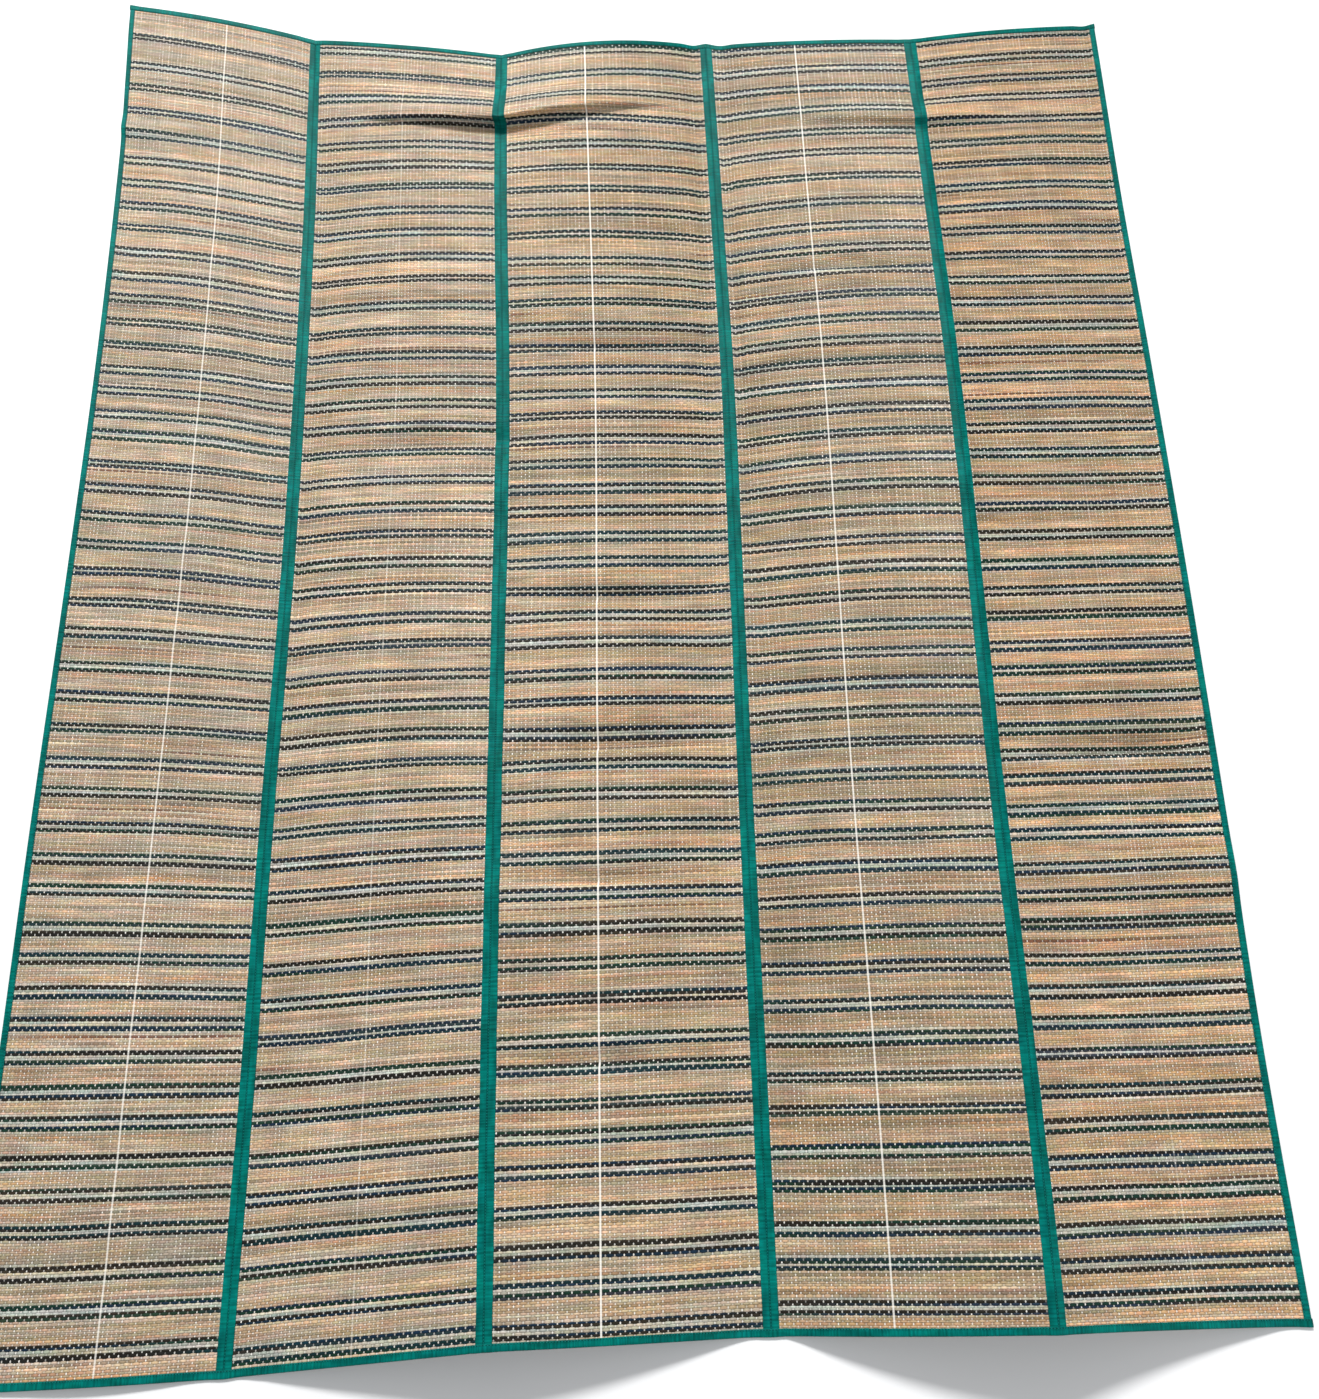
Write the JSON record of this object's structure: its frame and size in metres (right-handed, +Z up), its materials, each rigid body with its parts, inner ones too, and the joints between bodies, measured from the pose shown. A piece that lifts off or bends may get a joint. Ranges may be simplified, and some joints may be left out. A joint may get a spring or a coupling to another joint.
{
  "type": "woven reed floor mat",
  "caption": "Foldable floor mat of woven reed panels with thin dark cross stripes, sewn side by side with green cloth tapes and bound all round, lying open in low folds.",
  "frame": {"origin": "centre of the mat's plan box, on the floor that it lies on", "axes": "+Y along the panels towards the head end, +X across the panels to the right, +Z up"},
  "size_m": [1.5269, 1.9681, 0.0929],
  "materials": {
    "reed_weave": "dry split reeds with a faint sheen, woven over fine cream cotton threads, crossed by thin dark blue green stripes",
    "green_tape": "teal green woven synthetic tape with a soft sheen"
  },
  "bodies": {
    "root": {"panel_1": "reed_weave", "panel_2": "reed_weave", "panel_3": "reed_weave", "panel_4": "reed_weave", "panel_5": "reed_weave", "joint_tape_1": "green_tape", "joint_tape_2": "green_tape", "joint_tape_3": "green_tape", "joint_tape_4": "green_tape", "binding_left": "green_tape", "binding_right": "green_tape", "binding_foot": "green_tape", "binding_head": "green_tape"}
  },
  "joints": []
}
